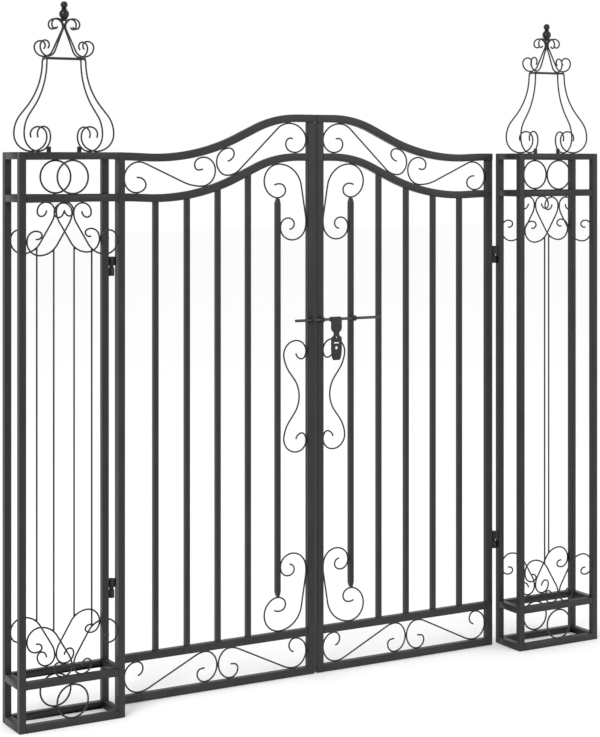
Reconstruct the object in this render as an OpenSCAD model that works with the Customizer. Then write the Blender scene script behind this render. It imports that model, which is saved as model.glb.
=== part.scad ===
// Double-leaf wrought driveway gate with two open-work pillars.
// Millimetres, +Z up, front faces -Y. The origin is the centre of the foot of
// the left pillar's inner back post.

/* [Overall size] */
// Width over the outer faces of both pillars
gate_w = 2500; // [2080:10:3000]
// Height of the pillar posts
post_h = 1980; // [1650:5:2380]
// Depth of a pillar, front to back
depth = 164; // [136:1:198]
// Width of a pillar
pillar_w = 393; // [327:1:472]

/* [Posts and rails] */
// Side of the square posts and pillar rails
post_t = 25; // [20:1:30]
// Face width of the leaf stiles and rails
leaf_t = 29; // [24:1:35]
// Depth of the leaf stiles and rails
leaf_d = 25; // [20:1:30]
// Spacing of each pair of rails
band = 147; // [123:1:177]
// Side of the square upright bars
bar_t = 19; // [16:1:23]

/* [Leaves] */
// Gap between post and leaf, for the hinges
hinge_gap = 32; // [28:1:40]
// Gap between the two leaves
meet_gap = 11; // [10:1:16]
// Height of the leaves above the post feet
ground_gap = 1; // [1:1:40]
// Rise of the arched rails as a share of the leaf width
arch_ratio = 0.178; // [0.15:0.001:0.2]

/* [Scrollwork] */
// Diameter of the round scroll rod
rod_d = 6; // [5:0.5:7]
// Diameter of the ring wire
ring_d = 6.5; // [5:0.5:8]

/* [Crown and finial] */
// Distance between the long wires of the crown frame
frame_y = 39; // [36:1:44]
// Diameter of the crown frame wire
frame_d = 7; // [6:0.5:8]
// Diameter of the lower finial ball
ball_d = 36; // [30:1:42]
// Diameter of the upper finial ball
tip_d = 26; // [22:1:30]

/* [Hinges and bolt] */
// Diameter of the hinge pins
pin_d = 12; // [10:0.5:13]
// Diameter of the hinge barrels
barrel_d = 21; // [18:0.5:21]
// Diameter of the slide bolt
bolt_d = 11; // [9:0.5:12]
// Height of the slide bolt
bolt_z = 1346; // [1150:1:1500]
// Width of the hasp plate
hasp_w = 47; // [40:1:56]

/* [Hidden] */
$fn = 48;
seat = 0.3;
g = seat + rod_d/2;            // rod centre line to the face it sits on
x_in = post_t/2;               // inner face of the left pillar
y_b = post_t/2;                // back face of the posts
y_f = y_b - depth;
x_c = x_in - pillar_w + gate_w/2;
px = x_in - pillar_w/2;        // axis of the left pillar
py = (y_b + y_f)/2;
leaf_w = (gate_w - 2*pillar_w - 2*hinge_gap - meet_gap)/2;
x_l = x_in + hinge_gap;
x_i = x_l + leaf_t;            // bay between the stiles
bay = leaf_w - 2*leaf_t;
x_m = x_i + bay;
k = bay/761.5;
pitch = bay/6;
half = pillar_w/2 - post_t;
q = half/171.5;
frame_z = post_h + 326.5;

// The arched rails: dip a little after the stile, sweeps up, then levels out.
a1 = 2.5;
a2 = 25;
r1 = 400*k;
r2 = 793*k;
r3 = 420*k;
d1 = 60*k;
rise = arch_ratio*leaf_w;
run_l = (rise + r1*(1 - cos(a1)) + d1*sin(a1) - r2*(cos(a1) - cos(a2))
  - r3*(1 - cos(a2)))/sin(a2);
u1 = 45;
u2 = u1 + r1*sin(a1);
u3 = u2 + d1*cos(a1);
u4 = u3 + r2*(sin(a2) + sin(a1));
u5 = u4 + run_l*cos(a2);
u6 = u5 + r3*sin(a2);
w2 = -r1*(1 - cos(a1));
w3 = w2 - (u3 - u2)*tan(a1);
w4 = w3 + r2*(cos(a1) - cos(a2));
w5 = w4 + run_l*sin(a2);
rail_z0 = post_h - leaf_t/2;
// Slope angle and height of the top rail's centre line at x.
function slope(x) = let(u = x - x_l)
  u < u1 ? 0 : u < u2 ? -asin((u - u1)/r1) : u < u3 ? -a1
  : u < u4 ? asin((u - u3)/r2 - sin(a1)) : u < u5 ? a2
  : u < u6 ? asin((u6 - u)/r3) : 0;
function rail_z(x) = let(u = x - x_l, t = slope(x)) rail_z0 + (
  u < u1 ? 0 : u < u2 ? -r1*(1 - cos(t)) : u < u3 ? w2 - (u - u2)*tan(a1)
  : u < u4 ? w3 + r2*(cos(a1) - cos(t)) : u < u5 ? w4 + (u - u4)*tan(a2)
  : u < u6 ? w5 + r3*(cos(t) - cos(a2)) : rise);
function rail_path(cut) = [[0, u1 - cut], [r1, -a1], [0, d1],
  [r2, a1 + a2], [0, run_l], [r3, -a2], [0, leaf_w - u6 - cut]];
// Centre line x of the rail where a circle of radius r at x touches it.
function meet(x, r, s, n = 12) = n == 0 ? x
  : x + s*(leaf_t/2 + g + r)*sin(slope(meet(x, r, s, n - 1)));
// Top of a scroll end hung under the top rail, and foot of one on the arch.
function hang(x, r) = let(t = meet(x, r, -1))
  rail_z(t) - (leaf_t/2 + g + r)*cos(slope(t)) + r;
function sit(x, r) = let(t = meet(x, r, 1))
  rail_z(t) - band + (leaf_t/2 + g + r)*cos(slope(t)) - r;

// A path is a list of [radius, turn angle], or [0, length] for a straight.
function side(h) = [-sin(h), cos(h)];
function wrap(a) = a - 360*floor(a/360);
function go(p, s) = let(c = p[2], w = s[1] > 0 ? 1 : -1, e = c + s[1])
  s[0] == 0 ? [p[0] + s[1]*cos(c), p[1] + s[1]*sin(c), c]
  : [p[0] + w*s[0]*(sin(e) - sin(c)), p[1] - w*s[0]*(cos(e) - cos(c)), e];
// Reach of a curl after it has turned by a.
function reach(t, a, p = [0, 0, 0], i = 0) = i >= len(t) ? p
  : t[i][0] == 0 ? reach(t, a, go(p, t[i]), i + 1)
  : t[i][1] >= a ? go(p, [t[i][0], a])
  : reach(t, a - t[i][1], go(p, t[i]), i + 1);
function across(t) = reach(t, 90)[0];
function tall(t) = reach(t, 180)[1];
function scaled(t, f, m = 1) =
  [for (s = t) s[0] == 0 ? [0, s[1]*f] : [s[0]*f, m*s[1]]];

// Steps along a bend, fine enough for a tenth of a millimetre.
function count(s) = s[0] == 0 ? 1
  : ceil(abs(s[1])/(2*acos(1 - 0.1/s[0])));
function trace(p, path, i = 0) = i >= len(path) ? []
  : let(s = path[i], n = count(s))
    concat([for (j = [1:n]) go(p, [s[0], s[1]*j/n])],
      trace(go(p, s), path, i + 1));
function line(p, path) = concat([p], trace(p, path));
function flip(l) = [for (i = [len(l) - 1:-1:0])
  [l[i][0], l[i][1], l[i][2] + 180]];
// A bar t thick in the XZ plane and w deep, along a line of
// [x, z, heading].
module bar(l, t, w) rotate([90, 0, 0]) linear_extrude(w, center = true)
  polygon(concat([for (p = l) [p[0], p[1]] + t/2*side(p[2])],
    [for (p = flip(l)) [p[0], p[1]] + t/2*side(p[2])]));
module rod(x, z, h, path) bar(line([x, z, h], path), rod_d, rod_d);
// Two rigid curls joined by a straight limb. An end is
// [x, z, heading of the curl, turning sign, radius of the limb's bend].
module scroll(a, ta, b, tb) {
  ha = a[2] + 180;
  sa = -a[3];
  sb = b[3];
  ca = [a[0], a[1]] + sa*a[4]*side(ha);
  cb = [b[0], b[1]] + sb*b[4]*side(b[2]);
  v = cb - ca;
  off = sb*b[4] - sa*a[4];
  dist = norm(v);
  th = atan2(v[1], v[0]) - asin(off/dist);
  limb = sqrt(dist*dist - off*off);
  aa = sa > 0 ? wrap(th - ha) : -wrap(ha - th);
  ab = sb > 0 ? wrap(b[2] - th) : -wrap(th - b[2]);
  bar(concat(flip(line([a[0], a[1], a[2]], scaled(ta, 1, a[3]))),
    trace([a[0], a[1], ha], concat([[a[4], aa], [0, limb], [b[4], ab]],
      scaled(tb, 1, b[3])))), rod_d, rod_d);
}
module other_side() translate([2*x_c, 0, 0]) mirror([1, 0, 0]) children();
module both_x(x) {
  children();
  translate([2*x, 0, 0]) mirror([1, 0, 0]) children();
}
module both_z(z) {
  children();
  translate([0, 0, 2*z]) mirror([0, 0, 1]) children();
}
module metal() color([0.06, 0.06, 0.065]) children();

// ---- Pillar ----
module posts() metal() for (x = [x_in - pillar_w, x_in - post_t],
    y = [y_f, y_b - post_t])
  translate([x, y, 0]) cube([post_t, post_t, post_h]);
module rails() metal() for (z = [0, band, post_h - post_t - band,
    post_h - post_t]) {
  for (y = [y_f, y_b - post_t]) translate([x_in - pillar_w + post_t, y, z])
    cube([pillar_w - 2*post_t, post_t, post_t]);
  for (x = [x_in - pillar_w, x_in - post_t])
    translate([x, y_f + post_t, z]) cube([post_t, depth - 2*post_t, post_t]);
}
module faces() for (y = [y_f + 4, y_b - 4]) translate([0, y, 0]) children();
ring_r = (band - post_t)/2 - seat - ring_d/2;
module rings() metal() faces()
  for (z = [(band + post_t)/2, post_h - (band + post_t)/2])
    translate([px, 0, z]) rotate([90, 0, 0]) rotate_extrude()
      translate([ring_r, 0]) circle(d = ring_d);
pil_a = scaled([[32.7, 186], [15.5, 111.6], [22.3, 61.6]], q);
pil_b = scaled([[46.8, 109.9], [31.7, 101.2], [11.5, 98.9], [18.6, 66.8]], q);
pil_x = x_in - post_t - g - 46.8*q;
pil_z = post_h - post_t - band - 182.4*q;
module pillar_scrolls() metal() faces() both_z(post_h/2) both_x(px)
  scroll([px + g - seat/2, post_h - post_t - band - g - 32.7*q, 90, -1, 72*q],
    pil_a, [pil_x, pil_z, 0, 1, 74*q], pil_b);
module pillar_rods() metal() faces() both_x(px) {
  x = px + 70.5*q;
  r = 74*q;
  z = pil_z + r - sqrt(r*r - pow(pil_x - x, 2));
  difference() {
    translate([x, 0, post_h - z]) cylinder(d = rod_d, h = 2*z - post_h);
    both_z(post_h/2) translate([pil_x, 0, pil_z + r]) rotate([90, 0, 0])
      rotate_extrude() translate([r, 0])
        square([rod_d + 0.5, rod_d + 2], center = true);
  }
}
// ---- Crown ----
leg_a = 16.2;
leg_path = [[0, 18.8], [259.1, 35.6], [0, 32.1], [104.3, -41.3],
  [60.2, -109.8], [49.4, -85.7], [28.8, -97.6], [25.8, -92]];
module crown_legs() metal() for (a = [leg_a, -leg_a, 180 + leg_a,
    180 - leg_a])
  translate([px, py, post_h]) rotate([0, 0, a])
    rod(75.1, 322.7, -87.3, leg_path);
module crown_frame() metal() translate([px, py, frame_z]) {
  for (s = [-1, 1]) {
    translate([-71, s*frame_y/2, 0]) rotate([0, 90, 0])
      cylinder(d = frame_d, h = 142);
    translate([s*71, -frame_y/2, 0]) rotate([-90, 0, 0])
      cylinder(d = frame_d, h = frame_y);
    for (t = [-1, 1]) translate([s*71, t*frame_y/2, 0]) sphere(d = frame_d);
  }
}
curl_up = [[33, -66], [0, 82], [26.5, -146.5], [19, -86.5], [12.2, -130]];
module crown_scrolls() metal() for (s = [-1, 1], t = [-1, 1])
  translate([px, py + s*3.1, frame_z + frame_d/2 + g])
    rotate([0, 0, t > 0 ? s*13.6 : 180 - s*13.6]) {
      bar(concat(flip(line([69.8, 0, 0], [[33, 89.4], [21.2, 104.6],
        [15.5, 128.4]])), trace([69.8, 0, 180], curl_up)), rod_d, rod_d);
    }
module crown_seat() metal() both_x(px) {
  translate([px + 45, y_f + post_t, post_h - 5])
    cube([86, depth - 2*post_t, 5]);
  translate([px + 49.5, py - 2.5, post_h - 1]) cube([15, 5, 21]);
}
module finial() metal() translate([px, py, post_h]) {
  translate([0, 0, 457]) cylinder(r1 = 7.8, r2 = 10.4, h = 6);
  translate([0, 0, 463]) cylinder(r1 = 10, r2 = 13, h = 9);
  translate([0, 0, 482]) sphere(d = ball_d);
  translate([0, 0, 495]) cylinder(r = 11, h = 10);
  translate([0, 0, 514]) sphere(d = tip_d);
}
// ---- Hinges ----
hx = x_in + hinge_gap/2;
hy = 4;
module at_hinges() for (z = [386, post_h - 442])
  translate([hx, hy, z]) children();
module hinge_pins() metal() at_hinges() {
  cylinder(d = barrel_d, h = 29);
  cylinder(d = 16, h = 36.7);
  cylinder(d = pin_d, h = 67);
  translate([-hinge_gap/2, -4, 0]) cube([hinge_gap/2, 8, 29]);
}
module knuckles() metal() at_hinges() difference() {
  union() {
    translate([0, 0, 37]) cylinder(d = barrel_d, h = 32);
    translate([0, -4, 37]) cube([hinge_gap/2, 8, 32]);
  }
  translate([0, 0, 36]) cylinder(d = pin_d + 0.1, h = 34);
}
// ---- Leaf ----
module stiles() metal() {
  translate([x_l, -leaf_d/2, ground_gap])
    cube([leaf_t, leaf_d, post_h - leaf_t - ground_gap]);
  translate([x_m, -leaf_d/2, ground_gap])
    cube([leaf_t, leaf_d, post_h - leaf_t + rise - ground_gap]);
}
module top_rail() metal() 
  bar(line([x_l, rail_z0, 0], rail_path(0)), leaf_t, leaf_d);
module arch_rail() metal() 
  bar(line([x_i, rail_z0 - band, 0], rail_path(leaf_t)), leaf_t, leaf_d);
module lower_rails() metal() for (z = [ground_gap, band])
  translate([x_i, -leaf_d/2, z]) cube([bay, leaf_d, leaf_t]);
low = band + leaf_t;
x_s = x_i + 5*pitch;                       // the short bar
// The tall curl rests under the arch: touch point on the last bend.
ctx = x_s + 6.8*k;
ctz = rail_z0 + rise - band - r3 + 64*k + sqrt(pow(r3 - leaf_t/2 - 64*k - g, 2)
  - pow(ctx - x_l - u6, 2));
c_mid = (ctz + low + g)/2;
ct_a = scaled([[64, 160], [41.6, 59.3], [24, 125.5], [41, 43]], k);
short_top = ctz - tall(ct_a) - g;
module bars() metal() {
  for (i = [1:4]) {
    x = x_i + i*pitch;
    difference() {
      translate([x - bar_t/2, -bar_t/2, low])
        cube([bar_t, bar_t, rail_z(x) - band - low]);
      bar(line([x_i, rail_z0 - band, 0], rail_path(leaf_t)), leaf_t + 0.4,
        leaf_d + 2);
    }
  }
  translate([x_s, bar_t/2, c_mid]) rotate([90, 0, 0]) linear_extrude(bar_t)
    polygon([for (s = [[1, 1], [-1, 1], [-1, -1], [1, -1]], t = [0, 1])
      let(e = s[0]*s[1] > 0 ? t : 1 - t)
      [s[0]*(e == 0 ? bar_t/2 : 4), s[1]*(short_top - c_mid - (1 - e)*18)]]);
}
s1_a = [[59, 114], [46.4, 107], [22.3, 84.5], [32.7, 64]];
s1_b = [[60.5, 94.5], [50, 120.4], [24.7, 74.3], [17.6, 82], [0, 14.4]];
s2_a = [[41, 38.6], [54.9, 142.4], [21.9, 118], [37.8, 50.1]];
s2_b = [[77.1, 55.6], [48.2, 156.6], [28.2, 76.4], [19.3, 83.3], [0, 6.8]];
room = band - leaf_t - 2*g;
module arch_scrolls() metal() {
  f1 = (room - 0.5)/tall(s1_a);
  f2 = (room - 5)/tall(s1_b);
  f3 = (room - 10)/tall(s2_a)*0.995;
  f4 = (room - 1.5)/tall(s2_b);
  xa = x_i + g + 59*f1;
  xb = x_i + 313.5*k;
  xc = xb + 112*f2;
  xd = x_m - g - across(s2_b)*f4;
  scroll([xa, hang(xa, 58*f1), 180, 1, 57*f1], scaled(s1_a, f1),
    [xb, sit(xb, 60.5*f2), 0, 1, 193*f2], scaled(s1_b, f2));
  scroll([xc, sit(xc, 80*f3), 180, -1, 80*f3], scaled(s2_a, f3),
    [xd, hang(xd, 72*f4), 0, -1, 72*f4], scaled(s2_b, f4));
}
ct_b = [[126.7, 10.5], [57.7, 109.4], [45, 78.6], [31.6, 106.6], [20, 145]];
module centre_scrolls() metal() {
  f = (pitch - bar_t/2 - 2*g)/tall(ct_b);
  both_z(c_mid) scroll([ctx, ctz, 180, 1, 98*k], ct_a,
    [x_m - g, ctz - 216*k, 270, -1, 127*f], scaled(ct_b, f));
  s = pitch/126.9;
  m = scaled([[109, 36.7], [0, 34], [130, -28], [52.5, -114.5],
    [41, -105.4], [16, -72.7], [27, -67]], s);
  e = go(go(go(go(go([0, 0, 90], m[0]), m[1]), m[2]), m[3]), [41*s, -74.2]);
  up = trace([x_m - g - e[0], c_mid, 90], m);
  bar(concat([for (i = [len(up) - 1:-1:0])
    [up[i][0], 2*c_mid - up[i][1], 180 - up[i][2]]],
    line([x_m - g - e[0], c_mid, 90], m)), rod_d, rod_d);
}
f_a = [[55, 55], [62, 48], [48, 77], [25.5, 167]];
f_b = [[44, 45], [59.5, 90], [46, 45], [31.5, 90], [18, 85], [0, 14]];
module foot_scrolls() metal() both_x(x_i + bay/2) {
  h = band - ground_gap - leaf_t - 2*g;
  fa = h/tall(f_a);
  fb = h/tall(f_b);
  scroll([x_i + g + across(f_a)*fa, ground_gap + leaf_t + g, 180, -1, 90*fa],
    scaled(f_a, fa),
    [x_i + bay/2 - g + seat/2 - across(f_b)*fb, band - g, 0, -1, 85*fb],
    scaled(f_b, fb));
}
// ---- Bolt and hasp ----
by = -leaf_d/2 - 13;                       // bolt axis, in front of the leaves
// A flat-bar staple bent round the bolt, with both feet on the face at y.
module keeper(x, w, y) {
  r = bolt_d/2 + 3;
  translate([x, by, bolt_z]) rotate([0, 90, 0]) rotate([0, 0, 180])
    rotate_extrude(angle = 180) translate([r - 2, 0]) square([4, w]);
  for (s = [-1, 1]) translate([x, by, bolt_z + s*r - 2])
    cube([w, y - by, 4]);
}
module left_keeper() metal() keeper(x_m + 6, 14, -leaf_d/2);
module right_keepers() metal() other_side() {
  keeper(x_m + 8, 14, -leaf_d/2);
  keeper(x_s - 7, 14, -bar_t/2);
}
bolt_x = x_m - 65;                         // tip of the bolt at rest
module slide_bolt() metal() translate([bolt_x, by, bolt_z])
  rotate([0, 90, 0]) cylinder(d = bolt_d, h = 378);
hasp_x = x_c + 54;
module hasp() metal() difference() {
  union() {
    translate([hasp_x, by, bolt_z]) rotate([0, 90, 0])
      cylinder(d = bolt_d + 8, h = hasp_w);
    translate([hasp_x + hasp_w/2, by - 6, 0]) rotate([90, 0, 0])
      linear_extrude(4) polygon([[-hasp_w/2, bolt_z],
        [-hasp_w/2, bolt_z - 41], [-hasp_w/4, bolt_z - 55],
        [-hasp_w/2, bolt_z - 71], [-hasp_w/2, bolt_z - 111],
        [-hasp_w*0.3, bolt_z - 156], [hasp_w*0.3, bolt_z - 156],
        [hasp_w/2, bolt_z - 111], [hasp_w/2, bolt_z - 71],
        [hasp_w/4, bolt_z - 55], [hasp_w/2, bolt_z - 41],
        [hasp_w/2, bolt_z]]);
  }
  translate([hasp_x - 1, by, bolt_z]) rotate([0, 90, 0])
    cylinder(d = bolt_d + 0.6, h = hasp_w + 2);
  translate([hasp_x + hasp_w/2, 0, bolt_z]) rotate([90, 0, 0]) {
    translate([0, -69, 0]) cylinder(d = 7, h = 60);
    translate([0, -109, 0]) cylinder(d = 13, h = 60);
    translate([-11, -93, 0]) cube([22, 6, 60]);
  }
}

// ---- One module per sub-part ----
module left_posts() posts();
module left_rails() rails();
module left_rings() rings();
module left_scrolls() pillar_scrolls();
module left_rods() pillar_rods();
module left_crown_legs() crown_legs();
module left_crown_frame() crown_frame();
module left_crown_scrolls() crown_scrolls();
module left_crown_seat() crown_seat();
module left_finial() finial();
module left_hinge_pins() hinge_pins();
module right_posts() other_side() posts();
module right_rails() other_side() rails();
module right_rings() other_side() rings();
module right_scrolls() other_side() pillar_scrolls();
module right_rods() other_side() pillar_rods();
module right_crown_legs() other_side() crown_legs();
module right_crown_frame() other_side() crown_frame();
module right_crown_scrolls() other_side() crown_scrolls();
module right_crown_seat() other_side() crown_seat();
module right_finial() other_side() finial();
module right_hinge_pins() other_side() hinge_pins();
module left_stiles() stiles();
module left_top_rail() top_rail();
module left_arch_rail() arch_rail();
module left_lower_rails() lower_rails();
module left_bars() bars();
module left_arch_scrolls() arch_scrolls();
module left_centre_scrolls() centre_scrolls();
module left_foot_scrolls() foot_scrolls();
module left_knuckles() knuckles();
module right_stiles() other_side() stiles();
module right_top_rail() other_side() top_rail();
module right_arch_rail() other_side() arch_rail();
module right_lower_rails() other_side() lower_rails();
module right_bars() other_side() bars();
module right_arch_scrolls() other_side() arch_scrolls();
module right_centre_scrolls() other_side() centre_scrolls();
module right_foot_scrolls() other_side() foot_scrolls();
module right_knuckles() other_side() knuckles();

left_posts();
left_rails();
left_rings();
left_scrolls();
left_rods();
left_crown_legs();
left_crown_frame();
left_crown_scrolls();
left_crown_seat();
left_finial();
left_hinge_pins();
right_posts();
right_rails();
right_rings();
right_scrolls();
right_rods();
right_crown_legs();
right_crown_frame();
right_crown_scrolls();
right_crown_seat();
right_finial();
right_hinge_pins();
left_stiles();
left_top_rail();
left_arch_rail();
left_lower_rails();
left_bars();
left_arch_scrolls();
left_centre_scrolls();
left_foot_scrolls();
left_knuckles();
left_keeper();
right_stiles();
right_top_rail();
right_arch_rail();
right_lower_rails();
right_bars();
right_arch_scrolls();
right_centre_scrolls();
right_foot_scrolls();
right_knuckles();
right_keepers();
slide_bolt();
hasp();
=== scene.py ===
import math
import bmesh
import bpy
from mathutils import Matrix, Vector, bvhtree, noise


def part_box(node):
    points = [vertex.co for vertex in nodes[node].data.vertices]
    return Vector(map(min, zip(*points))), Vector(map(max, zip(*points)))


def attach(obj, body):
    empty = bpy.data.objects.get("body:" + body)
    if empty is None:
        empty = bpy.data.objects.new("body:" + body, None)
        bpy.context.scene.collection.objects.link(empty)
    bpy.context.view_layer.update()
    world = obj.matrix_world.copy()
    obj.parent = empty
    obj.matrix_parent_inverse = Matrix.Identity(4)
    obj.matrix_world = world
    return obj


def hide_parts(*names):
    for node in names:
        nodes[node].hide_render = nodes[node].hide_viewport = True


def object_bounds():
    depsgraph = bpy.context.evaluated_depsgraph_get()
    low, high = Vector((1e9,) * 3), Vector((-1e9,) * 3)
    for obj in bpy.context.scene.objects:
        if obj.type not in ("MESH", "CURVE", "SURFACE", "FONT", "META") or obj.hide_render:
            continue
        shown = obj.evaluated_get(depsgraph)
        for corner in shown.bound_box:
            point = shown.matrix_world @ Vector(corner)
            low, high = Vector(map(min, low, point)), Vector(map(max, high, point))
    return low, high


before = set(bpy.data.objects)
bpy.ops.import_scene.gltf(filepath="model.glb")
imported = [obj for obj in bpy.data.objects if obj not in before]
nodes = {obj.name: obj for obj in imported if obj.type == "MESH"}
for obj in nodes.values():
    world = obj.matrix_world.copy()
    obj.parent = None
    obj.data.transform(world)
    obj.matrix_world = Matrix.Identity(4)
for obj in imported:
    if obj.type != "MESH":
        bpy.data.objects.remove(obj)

cad_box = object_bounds()

# ---- Camera ----
# Just above a standing person's eyes, 3.5 m to the left of the gateway's middle and 6 m
# in front, held level, with the lens shifted down to take in the feet.
cam = bpy.data.objects.new("camera", bpy.data.cameras.new("camera"))
bpy.context.scene.collection.objects.link(cam)
cam.location = (-2.6452, -5.9893, 1.9466)
cam.rotation_euler = (math.radians(90), 0, math.radians(-29.95))
cam.data.sensor_width = 36
cam.data.lens = 89.04
cam.data.shift_y = -0.2805
cam.data.dof.use_dof = False
bpy.context.scene.camera = cam
bpy.context.scene.view_settings.view_transform = "Standard"

# ---- Powder coat ----
# Satin black polyester powder baked onto the steel: a fine orange peel, a faint uneven
# gloss where the film is thicker, dull dust lying low down on the legs, and a painted
# highlight: a lighter grey on faces that look up, standing in for the light from above.


class Sock:
    def __init__(self, tree, out):
        self.tree, self.out = tree, out

    def node(self, kind, settings=None, **inputs):
        n = self.tree.nodes.new(kind)
        for key, val in (settings or {}).items():
            setattr(n, key, val)
        for key, val in inputs.items():
            sock = n.inputs[int(key[1:])] if key[1:].isdigit() else n.inputs[key.replace("_", " ")]
            if isinstance(val, Sock):
                self.tree.links.new(val.out, sock)
            else:
                sock.default_value = val
        return n

    def math(self, op, a, b):
        return Sock(self.tree, self.node("ShaderNodeMath", {"operation": op}, i0=a, i1=b).outputs[0])

    def __add__(self, o):
        return self.math("ADD", self, o)

    def __radd__(self, o):
        return self.math("ADD", o, self)

    def __sub__(self, o):
        return self.math("SUBTRACT", self, o)

    def __rsub__(self, o):
        return self.math("SUBTRACT", o, self)

    def __mul__(self, o):
        return self.math("MULTIPLY", self, o)

    def __rmul__(self, o):
        return self.math("MULTIPLY", o, self)

    def __truediv__(self, o):
        return self.math("DIVIDE", self, o)

    def __rtruediv__(self, o):
        return self.math("DIVIDE", o, self)


def powder(name, dark, light, rough, dust_and_top_highlight_amount=0.25):
    m = bpy.data.materials.new(name)
    m.use_nodes = True
    t = m.node_tree
    b = t.nodes["Principled BSDF"]
    root = Sock(t, None)
    pos = Sock(t, root.node("ShaderNodeTexCoord").outputs["Object"])

    def cloud(scale, detail=3.0):
        return Sock(t, pos.node("ShaderNodeTexNoise", Vector=pos, Scale=scale, Detail=detail).outputs["Fac"])

    patch = cloud(9.0)
    peel = cloud(420.0, 2.0)
    grain = cloud(1500.0, 1.0)
    geo = pos.node("ShaderNodeNewGeometry")
    up = Sock(t, pos.node("ShaderNodeSeparateXYZ", Vector=Sock(t, geo.outputs["Normal"])).outputs["Z"])
    low = Sock(t, pos.node("ShaderNodeSeparateXYZ", Vector=pos).outputs["Z"])
    fade = pos.node("ShaderNodeMapRange", Value=low, i1=0.0, i2=0.35, i3=1.0, i4=0.0)
    near_ground = Sock(t, fade.outputs[0])
    film = Sock(t, pos.node("ShaderNodeMapRange", Value=patch, i1=0.35, i2=0.65).outputs[0])
    # painted highlight: faces that look up are mixed toward a lighter grey for the light falling from above;
    # only the low-down part is dust
    top_highlight_mask = Sock(t, pos.node("ShaderNodeMapRange", Value=up, i1=0.4, i2=1.0).outputs[0])
    dust_and_top_highlight = dust_and_top_highlight_amount * (top_highlight_mask * 0.5 + near_ground * 0.3) * (0.4 + patch)
    tone = pos.node("ShaderNodeMix", {"data_type": "RGBA"}, i0=film, i6=(*dark, 1), i7=(*light, 1))
    coat = pos.node("ShaderNodeMix", {"data_type": "RGBA"}, i0=dust_and_top_highlight, i6=Sock(t, tone.outputs[2]),
                    i7=(0.16, 0.15, 0.14, 1))
    t.links.new(coat.outputs[2], b.inputs["Base Color"])
    t.links.new((rough + patch * 0.12 + dust_and_top_highlight * 0.5).out, b.inputs["Roughness"])
    bump = pos.node("ShaderNodeBump", Strength=0.22, Distance=0.0004, Height=peel * 0.8 + grain * 0.2)
    t.links.new(bump.outputs[0], b.inputs["Normal"])
    b.inputs["Specular IOR Level"].default_value = 0.3
    return m


coat = powder("powder_coat", (0.009, 0.009, 0.010), (0.014, 0.014, 0.015), 0.34)

# ---- Square tube frame ----
# Posts, stiles, straight leaf rails and bars: cold-rolled square tube with small round
# corners, cut square and welded face to face. The crown seats are flat bar, edges broken.
CORNERS = {"posts": 0.0028, "stiles": 0.003, "lower_rails": 0.003, "bars": 0.002, "crown_seat": 0.0008}
JOINED = 0.00002


def dress(o, width=0.0):
    """Coats a CAD node and, given a width, rounds its corners."""
    o.data.materials.clear()
    o.data.materials.append(coat)
    weld = o.modifiers.new("joined", "WELD")
    weld.merge_threshold = JOINED
    if width:
        edges = o.modifiers.new("edges", "BEVEL")
        edges.width = width
        edges.segments = 3
        edges.limit_method = "ANGLE"
        edges.angle_limit = math.radians(50)
        edges.harden_normals = True


for name, o in nodes.items():
    kind = name.partition("_")[2]
    if kind in CORNERS:
        dress(o, CORNERS[kind])

# ---- Scrolls and arched rails ----
# Round bar bent cold on a scroll jig into rigid curls, its cut ends slightly rounded
# over, and square tube rolled to a sweep for the arched rails of the leaves.
PILLAR_RODS = ("scrolls", "crown_legs", "crown_scrolls")
LEAF_RODS = ("arch_scrolls", "centre_scrolls", "foot_scrolls")
ARCHED = ("top_rail", "arch_rail")
END_CUT = 0.0009
END_SIZE = 0.72
RAIL_CORNER = 0.003


def link(name, bm, material, body, *stands_for, smooth=35):
    """Makes the finished piece, rides it on its body and takes the place of CAD nodes."""
    me = bpy.data.meshes.new(name)
    bmesh.ops.recalc_face_normals(bm, faces=bm.faces)
    bm.to_mesh(me)
    bm.free()
    me.materials.append(material)
    me.polygons.foreach_set("use_smooth", [True] * len(me.polygons))
    me.set_sharp_from_angle(angle=math.radians(smooth))
    o = bpy.data.objects.new(name, me)
    bpy.context.scene.collection.objects.link(o)
    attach(o, body)
    if stands_for:
        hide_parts(*stands_for)
    return o


def islands(o):
    """The faces of each solid of a CAD node, with coincident corners joined."""
    whole = bmesh.new()
    whole.from_mesh(o.data)
    bmesh.ops.remove_doubles(whole, verts=whole.verts, dist=JOINED)
    left = set(whole.verts)
    while left:
        group, todo = set(), [next(v for v in whole.verts if v in left)]
        while todo:
            v = todo.pop()
            if v in group:
                continue
            group.add(v)
            todo += [e.other_vert(v) for e in v.link_edges]
        left -= group
        yield [f for f in whole.faces if f.verts[0] in group]
    whole.free()


def backbone(faces):
    """Middle line of a flat bent bar: points, sideways and depth directions, width and depth."""
    area = {}
    for f in faces:
        key = tuple(round(c, 2) for c in f.normal)
        area[key] = area.get(key, 0) + f.calc_area()
    key = max(sorted(area), key=lambda q: area[q])
    cap = [f for f in faces if f.normal.dot(Vector(key).normalized()) > 0.9995]
    inside = set(cap)
    rim = {}
    for f in cap:
        for loop in f.loops:
            if sum(g in inside for g in loop.edge.link_faces) == 1:
                rim[loop.vert] = loop.link_loop_next.vert
    ring, v = [], sorted(rim, key=lambda q: tuple(q.co))[0]
    while not ring or v is not ring[0]:
        ring.append(v)
        v = rim[v]
    pts = [q.co.copy() for q in ring]
    n = len(pts) // 2

    def spread(k):
        gaps = [(pts[(k + i) % (2 * n)] - pts[(k - 1 - i) % (2 * n)]).length for i in range(n)]
        return max(gaps) - min(gaps)

    k = min(range(n), key=spread)
    pairs = [(pts[(k + i) % (2 * n)], pts[(k - 1 - i) % (2 * n)]) for i in range(n)]
    depth = Vector(key).normalized()
    far = min(depth.dot(q.co) for f in faces for q in f.verts)
    thick = depth.dot(pts[0]) - far
    mid = [(a + b) / 2 - depth * (thick / 2) for a, b in pairs]
    across = [(a - b).normalized() for a, b in pairs]
    return mid, across, depth, (pairs[0][0] - pairs[0][1]).length, thick


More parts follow.
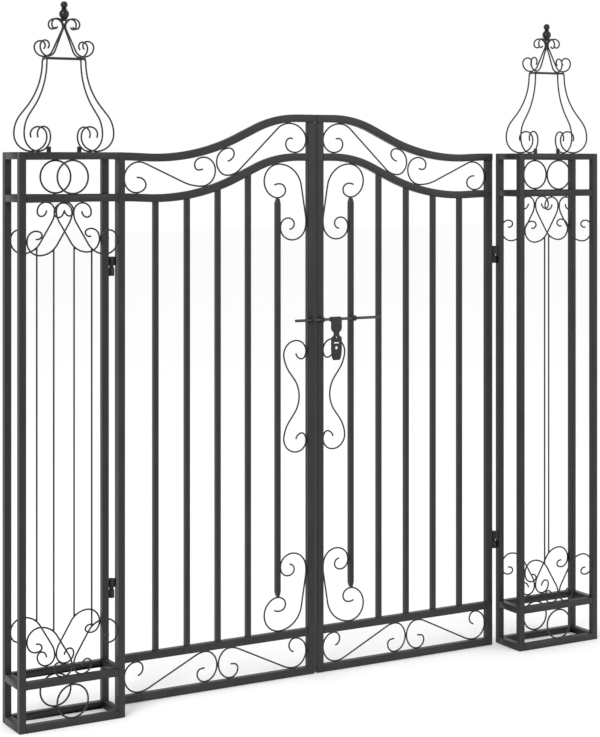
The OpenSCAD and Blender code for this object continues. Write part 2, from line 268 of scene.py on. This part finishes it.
def smooth_line(mid, across, depth, parts):
    """The bends drawn finer, with the true direction kept at every given point."""
    ahead = [c.cross(depth) for c in across]
    if ahead[0].dot(mid[1] - mid[0]) < 0:
        ahead = [-c for c in ahead]
    out = []
    for i in range(len(mid) - 1):
        a, b, m = mid[i], mid[i + 1], (mid[i + 1] - mid[i]).length
        n = parts if ahead[i].angle(ahead[i + 1]) > 0.01 else 1
        for j in range(n):
            t = j / n
            p = (a * (2 * t**3 - 3 * t**2 + 1) + ahead[i] * (m * (t**3 - 2 * t**2 + t))
                 + b * (3 * t**2 - 2 * t**3) + ahead[i + 1] * (m * (t**3 - t**2)))
            out.append((p, across[i].lerp(across[i + 1], t).normalized()))
    return out + [(mid[-1], across[-1])]


def bar_along(bm, line, depth, section, chamfer):
    """Sweeps a section of (across, deep) points along a line, with softened ends."""
    (start, start_side), (end, end_side) = line[0], line[-1]
    inward = (line[1][0] - start).normalized() * chamfer
    outward = (end - line[-2][0]).normalized() * chamfer
    steps = [(p, c, 1.0) for p, c in line[1:-1]]
    steps = [(start + inward, start_side, 1.0)] + steps + [(end - outward, end_side, 1.0)]
    if chamfer:
        steps = [(start, start_side, END_SIZE)] + steps + [(end, end_side, END_SIZE)]
    rings = [[bm.verts.new(p + c * (u * f) + depth * (w * f)) for u, w in section] for p, c, f in steps]
    for a, b in zip(rings, rings[1:]):
        for i in range(len(section)):
            j = (i + 1) % len(section)
            bm.faces.new((a[i], a[j], b[j], b[i]))
    bm.faces.new(rings[0])
    bm.faces.new(rings[-1])


def round_section(d, n=14):
    turns = [2 * math.pi * i / n for i in range(n)]
    return [(d / 2 * math.cos(w), d / 2 * math.sin(w)) for w in turns]


def tube_section(t, w, r, n=4):
    """A rectangle with round corners."""
    out = []
    for q, (sx, sy) in enumerate(((1, 1), (-1, 1), (-1, -1), (1, -1))):
        for i in range(n + 1):
            a = math.radians(90 * q + 90 * i / n)
            out.append((sx * (t / 2 - r) + r * math.cos(a), sy * (w / 2 - r) + r * math.sin(a)))
    return out


for name in sorted(nodes):
    side, _, kind = name.partition("_")
    if kind in PILLAR_RODS + LEAF_RODS + ARCHED:
        bm = bmesh.new()
        for faces in islands(nodes[name]):
            mid, across, depth, t, w = backbone(faces)
            line = smooth_line(mid, across, depth, 2)
            if kind in ARCHED:
                bar_along(bm, line, depth, tube_section(t, w, RAIL_CORNER), 0)
            else:
                bar_along(bm, line, depth, round_section(t), END_CUT)
        body = "pillars" if kind in PILLAR_RODS else side + "_leaf"
        link(name + "_bent", bm, coat, body, name)

# ---- Pillar rails ----
# Short lengths of the same square tube, cut square and butted between the posts, with
# their corners softened so that a thin line shows at every joint.
for side in ("left", "right"):
    rails = nodes[side + "_rails"]
    dress(rails, 0.0022)
    graph = bpy.context.evaluated_depsgraph_get()
    soft = bpy.data.meshes.new_from_object(rails.evaluated_get(graph))
    lo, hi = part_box(side + "_rails")
    for v in soft.vertices:
        v.co = [max(a, min(b, c)) for a, b, c in zip(lo, hi, v.co)]
    bm = bmesh.new()
    bm.from_mesh(soft)
    link(side + "_pillar_rails", bm, coat, "pillars", side + "_rails")

# ---- Rings, upright rods and crown frames ----
# Rings of round bar closed with a butt weld, straight drawn rods cut to meet the curls,
# and the small wire frames that hold the crown legs together.
for name, o in nodes.items():
    if name.partition("_")[2] in ("rings", "rods", "crown_frame"):
        dress(o)

# ---- Turned finials ----
# A cone, a large ball, a neck and a small ball turned from one steel bar and pressed over
# the tops of the four crown wires, sprayed a glossier black than the frame.
gloss = powder("finial_gloss", (0.005, 0.005, 0.006), (0.008, 0.008, 0.009), 0.14, 0.1)


def lathe(bm, profile, place, turn=None, steps=40):
    """Spins (radius, height) points round +Z, then turns and places the result."""
    rings = []
    for r, z in profile:
        ring = []
        for i in range(steps if r > 1e-6 else 1):
            w = 2 * math.pi * i / steps
            v = Vector((r * math.cos(w), r * math.sin(w), z))
            ring.append(bm.verts.new((turn @ v if turn else v) + Vector(place)))
        rings.append(ring)
    for a, b in zip(rings, rings[1:]):
        n = max(len(a), len(b))
        for i in range(n):
            quad = [a[i % len(a)], a[(i + 1) % len(a)], b[(i + 1) % len(b)], b[i % len(b)]]
            bm.faces.new(list(dict.fromkeys(quad)))


def arc(cz, r, lo, hi, n=12):
    """Part of a circle about the axis, from polar angle lo to hi, in degrees."""
    w = [math.radians(lo + (hi - lo) * i / n) for i in range(n + 1)]
    return [(r * math.cos(t), cz + r * math.sin(t)) for t in w]


for side in ("left", "right"):
    lo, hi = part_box(side + "_finial")
    x, y, top = (lo[0] + hi[0]) / 2, (lo[1] + hi[1]) / 2, hi[2]
    bm = bmesh.new()
    cone = [(0, -0.070), (0.0048, -0.070), (0.0098, -0.064), (0.0104, -0.0632), (0.0128, -0.0610),
            (0.0128, -0.0595), (0.0096, -0.0585)]
    ball = arc(-0.045, 0.0178, -48, 55, 18)
    neck = [(0.0085, -0.0289), (0.0085, -0.0278), (0.0108, -0.0270), (0.0112, -0.0262),
            (0.0108, -0.0254), (0.0078, -0.0246)]
    tip = arc(-0.013, 0.0127, -62, 76, 18) + [(0.0024, -0.0003), (0, 0)]
    lathe(bm, cone + ball + neck + tip, (x, y, top))
    link(side + "_turned_finial", bm, gloss, "pillars", side + "_finial")

# ---- Barrel hinges ----
# Lathe-turned steel barrels, one welded to the post with its pin and one to the stile,
# with chamfered rims, a rounded pin head and a thrust ring in the slit between them.
BARREL_R = 0.0104
RING_R = 0.0079
PIN_R = 0.0059
BORE_R = 0.0061


def slab(bm, lo, hi, soft=0.0008):
    """A plate with its edges broken."""
    part = bmesh.new()
    made = bmesh.ops.create_cube(part, size=1)["verts"]
    for v in made:
        v.co = Vector([lo[i] if v.co[i] < 0 else hi[i] for i in range(3)])
    bmesh.ops.bevel(part, geom=part.edges[:], offset=soft, segments=2, affect="EDGES", profile=0.5)
    tmp = bpy.data.meshes.new("tmp")
    part.to_mesh(tmp)
    part.free()
    bm.from_mesh(tmp)
    bpy.data.meshes.remove(tmp)


def barrel(r, z0, z1, bore=0.0):
    """(radius, height) points of a turned barrel with chamfered rims."""
    c = 0.0012
    return [(bore, z0), (r - c, z0), (r - 0.0003, z0 + 0.0004), (r, z0 + c), (r, z1 - c),
            (r - 0.0003, z1 - 0.0004), (r - c, z1), (bore, z1)]


for side, sign in (("left", 1), ("right", -1)):
    plo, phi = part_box(side + "_hinge_pins")
    klo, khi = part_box(side + "_knuckles")
    post = plo[0] if sign > 0 else phi[0]
    edge = khi[0] if sign > 0 else klo[0]
    x, y = post + sign * 0.016, (plo[1] + phi[1]) / 2
    fixed, moving = bmesh.new(), bmesh.new()
    for z in (plo[2], klo[2] + (phi[2] - 0.067 - plo[2]) - 0.037):
        lathe(fixed, barrel(BARREL_R, 0, 0.029), (x, y, z))
        lathe(fixed, barrel(RING_R, 0.029, 0.0366), (x, y, z))
        head = [(0.005, 0.0665), (0.0025, 0.067), (0, 0.067)]
        lathe(fixed, [(PIN_R, 0.036), (PIN_R, 0.0655)] + head, (x, y, z))
        slab(fixed, (min(post, x), y - 0.004, z + 0.0005), (max(post, x), y + 0.004, z + 0.0285))
        lathe(moving, barrel(BARREL_R, 0.037, 0.069, BORE_R) + [(BORE_R, 0.037)], (x, y, z))
        near = x + sign * 0.0085
        slab(moving, (min(near, edge), y - 0.004, z + 0.0375), (max(near, edge), y + 0.004, z + 0.0685))
    link(side + "_hinge_pin_barrels", fixed, coat, "pillars", side + "_hinge_pins")
    link(side + "_hinge_leaf_barrels", moving, coat, side + "_leaf", side + "_knuckles")

# ---- Slide bolt and staples ----
# A black bolt of drawn round bar with rounded ends, in three flat-bar staples bent over
# a former. Its coat is painted a lighter grey all over, a painted highlight standing in for the light along
# its top.
bolt_highlight_coat = powder("rubbed_coat", (0.022, 0.022, 0.024), (0.045, 0.045, 0.047), 0.26, 0.1)
lo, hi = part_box("slide_bolt")
r = (hi[2] - lo[2]) / 2
bm = bmesh.new()
turns = [math.radians(i * 9) for i in range(11)]
rim = [(r * math.sin(t), r * 0.45 * (1 - math.cos(t))) for t in turns]
length = hi[0] - lo[0]
prof = rim + [(r, length * i / 12) for i in range(1, 12)] + [(a, length - b) for a, b in reversed(rim)]
along_x = Matrix.Rotation(math.radians(90), 3, "Y")
lathe(bm, prof, (lo[0], (lo[1] + hi[1]) / 2, (lo[2] + hi[2]) / 2), along_x)
link("bolt_bar", bm, bolt_highlight_coat, "slide_bolt", "slide_bolt")
for name in ("left_keeper", "right_keepers"):
    dress(nodes[name], 0.0007)

# ---- Hasp ----
# A plate stamped from 4 mm steel with a waist, two round holes and a slot, its rim
# softened by tumbling, welded to a short eye of drawn tube that hangs on the bolt.
lo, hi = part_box("hasp")
cx, half = (lo[0] + hi[0]) / 2, (hi[0] - lo[0]) / 2
axis_z, front = lo[2] + 0.156, lo[1]


def outline(points, name):
    """A flat plate from an outer edge and its holes, with the rims rounded."""
    c = bpy.data.curves.new(name, "CURVE")
    c.dimensions, c.fill_mode = "2D", "BOTH"
    c.extrude, c.bevel_depth, c.bevel_resolution = 0.0014, 0.0006, 2
    for pts in points:
        sp = c.splines.new("POLY")
        sp.points.add(len(pts) - 1)
        for q, (px, pz) in zip(sp.points, pts):
            q.co = (px, pz, 0, 1)
        sp.use_cyclic_u = True
    o = bpy.data.objects.new(name, c)
    bpy.context.scene.collection.objects.link(o)
    return o


def round_hole(x, z, r, n=28):
    turns = [2 * math.pi * i / n for i in range(n)]
    return [(x + r * math.cos(w), z + r * math.sin(w)) for w in turns]


h = half - 0.0007
waist_r = 0.0125
waist = [math.radians(t) for t in range(20, 170, 10)]
right = [(h, -0.002), (h, -0.036), (h - 0.002, -0.041)]
right += [(h + 0.001 - waist_r * math.sin(w), -0.0555 + waist_r * math.cos(w)) for w in waist]
right += [(h - 0.001, -0.0695), (h, -0.074), (h, -0.108)]
taper = [math.radians(t) for t in range(10, 81, 10)]
right += [(h - 0.0095 * (1 - math.cos(w)), -0.108 - 0.046 * math.sin(w)) for w in taper]
right += [(0.0132, -0.1545), (0.012, -0.1553)]
shape = right + [(-a, b) for a, b in reversed(right)]
slot_r = 0.0028
slot_end = [math.radians(-90 + i * 15) for i in range(13)]
slot = [(0.0095 + slot_r * math.cos(w), -0.090 + slot_r * math.sin(w)) for w in slot_end]
slot += [(-a, b) for a, b in reversed(slot)]
holes = [round_hole(0, -0.069, 0.0034), slot, round_hole(0, -0.109, 0.0064)]
plate = outline([shape] + holes, "hasp_plate_curve")
dg = bpy.context.evaluated_depsgraph_get()
flat = bpy.data.meshes.new_from_object(plate.evaluated_get(dg))
bpy.data.objects.remove(plate)
bm = bmesh.new()
bm.from_mesh(flat)
bmesh.ops.remove_doubles(bm, verts=bm.verts, dist=0.00001)
stand = Matrix.Translation((cx, front + 0.0021, axis_z)) @ Matrix.Rotation(math.radians(90), 4, "X")
bmesh.ops.transform(bm, matrix=stand, verts=bm.verts)
bolt_lo, bolt_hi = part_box("slide_bolt")
bolt_y = (bolt_lo[1] + bolt_hi[1]) / 2
eye_bore = 0.0058
eye = [(a, b - h) for a, b in barrel(0.0095, 0, 2 * h, eye_bore)] + [(eye_bore, -h)]
lathe(bm, eye, (cx, bolt_y, axis_z), along_x)
link("hasp_plate", bm, coat, "hasp", "hasp", smooth=40)

# ---- Weld beads ----
# Short tack welds, laid by hand and coated over, wherever a curl, ring or rod bears on
# its neighbour: low uneven lumps a few millimetres long.
BEAD = (0.0036, 0.0026, 0.0030)


def surface(o):
    me = o.data
    return bvhtree.BVHTree.FromPolygons([v.co.copy() for v in me.vertices],
                                        [tuple(q.vertices) for q in me.polygons])


def contacts(thin, others, reach=0.0008, apart=0.014):
    """Points where a thin piece comes within reach of others, one for each place."""
    found = []
    for o in others:
        tree = surface(o)
        for v in thin.data.vertices:
            hit = tree.find_nearest(v.co, reach)
            if hit[0] is not None and all((hit[0] - f[0]).length > apart for f in found):
                found.append((hit[0], (v.co + hit[0]) / 2))
    return [f[1] for f in found]


def bead(bm, at, size, seed):
    """A lumpy flattened drop of weld metal."""
    made = bmesh.ops.create_icosphere(bm, subdivisions=3, radius=1)["verts"]
    for v in made:
        n = noise.noise(v.co * 1.7 + Vector((seed, 0, 0)))
        ripple = 0.06 * math.sin(v.co.x * 14 + seed)
        drop = Vector([v.co[i] * size[i] for i in range(3)])
        v.co = at + drop * (1 + 0.22 * n + ripple)
        v.co = [max(a + 0.0002, min(b - 0.0002, c)) for a, b, c in zip(cad_box[0], cad_box[1], v.co)]


WELDS = (("pillars", ("_rings", "_scrolls", "_rods"), ("_rails", "_posts", "_scrolls")),
         ("pillars", ("_crown_legs", "_crown_scrolls"), ("_crown_seat", "_crown_frame", "_finial")),
         ("leaf", ("_arch_scrolls", "_centre_scrolls", "_foot_scrolls"),
          ("_top_rail", "_arch_rail", "_stiles", "_lower_rails", "_bars")))
for side in ("left", "right"):
    for body, thin, thick in WELDS:
        bm = bmesh.new()
        for t in thin:
            near = [nodes[side + k] for k in thick if k != t and side + k in nodes]
            for i, at in enumerate(contacts(nodes[side + t], near)):
                bead(bm, at, BEAD, i * 3.1)
        if bm.verts:
            rides = "pillars" if body == "pillars" else side + "_leaf"
            link(side + "_" + body + "_welds" + thin[0], bm, coat, rides, smooth=80)
        else:
            bm.free()

# ---- Floor, backdrop and light ----
# A plain pale studio floor and broad soft lights: one high in front to the left, a weak
# one from the right, and an even white surround.
me = bpy.data.meshes.new("floor")
me.from_pydata([(-40, -40, 0), (40, -40, 0), (40, 40, 0), (-40, 40, 0)], [], [(0, 1, 2, 3)])
floor = bpy.data.objects.new("floor", me)
bpy.context.scene.collection.objects.link(floor)
pale = bpy.data.materials.new("floor_paint")
pale.use_nodes = True
paint = pale.node_tree.nodes["Principled BSDF"]
paint.inputs["Base Color"].default_value = (0.97, 0.97, 0.97, 1)
paint.inputs["Roughness"].default_value = 0.9
me.materials.append(pale)
world = bpy.data.worlds.new("surround")
bpy.context.scene.world = world
world.use_nodes = True
world.node_tree.nodes["Background"].inputs[0].default_value = (1, 1, 1, 1)
world.node_tree.nodes["Background"].inputs[1].default_value = 1.0
LAMPS = (("key", (-4.5, -4.0, 5.0), 3.0, 260), ("fill", (4.5, -5.0, 3.0), 3.0, 60))
for name, place, size, power in LAMPS:
    lamp = bpy.data.lights.new(name, "AREA")
    lamp.size, lamp.energy = size, power
    ob = bpy.data.objects.new(name, lamp)
    bpy.context.scene.collection.objects.link(ob)
    ob.location = place
    ob.rotation_euler = (Vector((0.9, 0, 1.1)) - Vector(place)).to_track_quat("-Z", "Y").to_euler()
